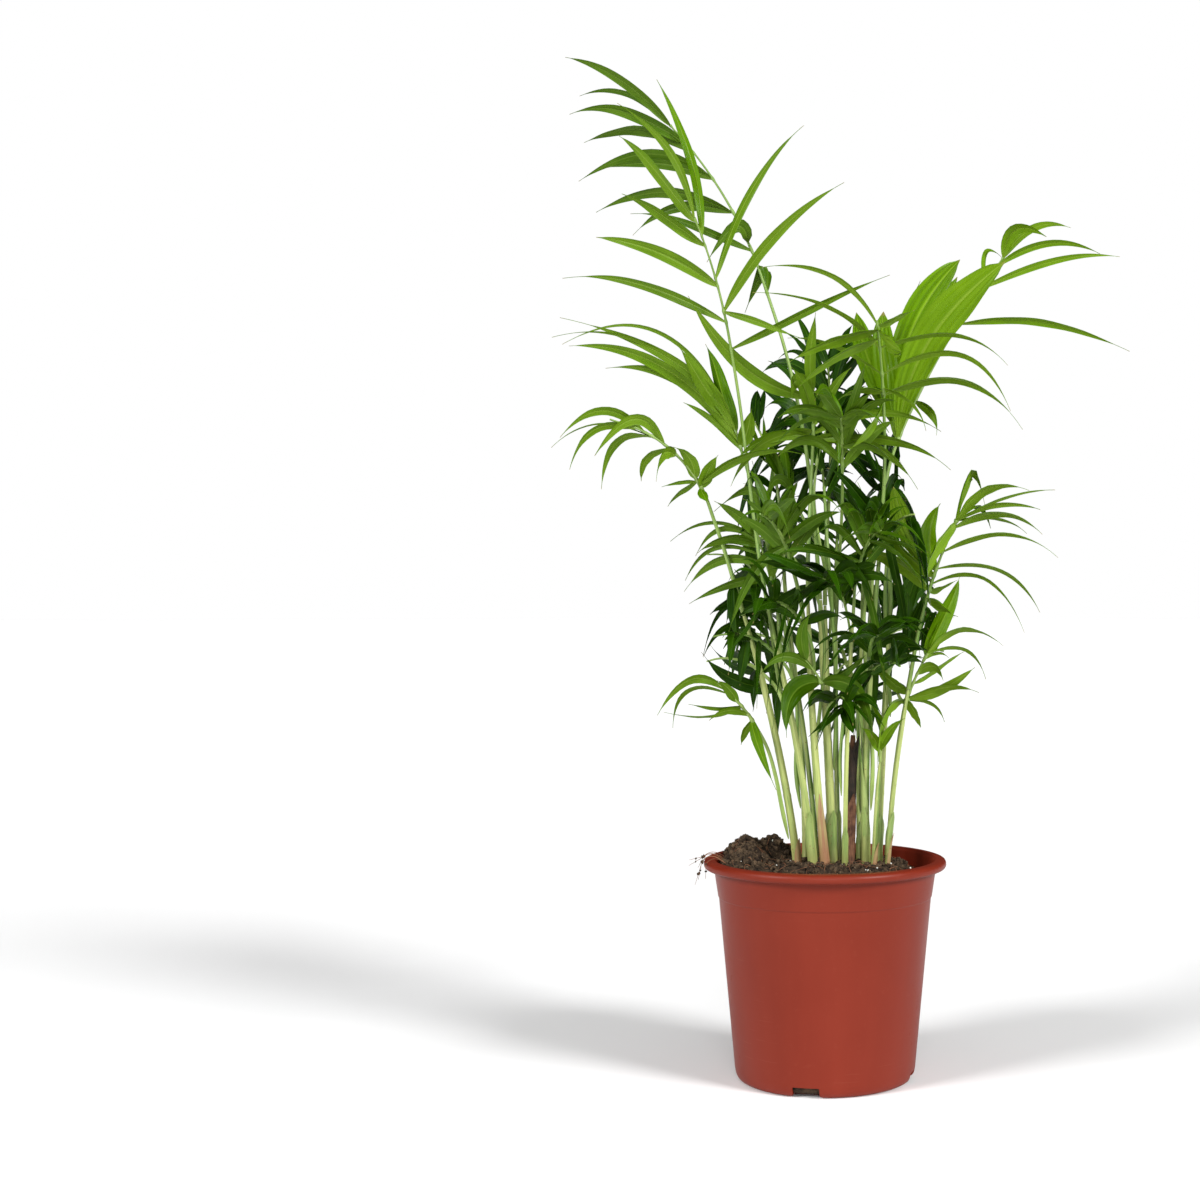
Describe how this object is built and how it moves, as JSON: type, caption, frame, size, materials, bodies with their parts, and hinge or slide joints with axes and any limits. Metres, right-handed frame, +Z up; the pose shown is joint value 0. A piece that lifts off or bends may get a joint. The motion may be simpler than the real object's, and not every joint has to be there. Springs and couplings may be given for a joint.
{
  "type": "potted parlour palm",
  "caption": "Parlour palm with slim canes and arching feather fronds, growing in a round tapered nursery pot with a rolled rim.",
  "frame": {"origin": "centre of the pot's flat underside, where it stands", "axes": "+Z up through the pot's axis, -Y towards the front, +X to the right as seen from the front"},
  "size_m": [0.4156, 0.3021, 0.7226],
  "materials": {
    "pot": "satin",
    "compost": "matte",
    "cane": "satin",
    "husk": "matte",
    "leaf": "satin",
    "young_leaf": "satin"
  },
  "bodies": {
    "root": {"pot": "pot", "compost": "compost", "cane_1": "cane", "cane_2": "cane", "cane_3": "cane", "cane_4": "cane", "cane_5": "cane", "cane_6": "cane", "cane_7": "cane", "cane_8": "husk", "cane_9": "cane", "cane_10": "cane", "cane_11": "cane", "cane_12": "cane", "cane_13": "cane", "cane_14": "cane", "cane_15": "cane", "cane_16": "cane", "frond_top_left": "leaf", "frond_high_left": "young_leaf", "frond_left": "leaf", "frond_young_left": "young_leaf", "frond_right": "young_leaf", "frond_front_right": "leaf", "frond_centre": "leaf", "frond_right_low": "leaf", "frond_right_lowest": "leaf", "frond_front": "leaf", "frond_low_left": "leaf", "frond_mid_left": "leaf", "frond_mid_low_left": "leaf", "frond_new": "young_leaf", "frond_back_high": "leaf", "frond_back_left": "leaf", "frond_back_right": "leaf", "frond_back_mid": "leaf", "frond_back_low_left": "leaf", "frond_back_low_right": "leaf", "frond_back_low": "leaf", "frond_fill_left": "leaf", "frond_fill_right": "leaf", "frond_fore_left": "leaf", "frond_fore_right": "leaf", "frond_fore_low": "leaf", "frond_fore_high": "leaf"}
  },
  "joints": []
}
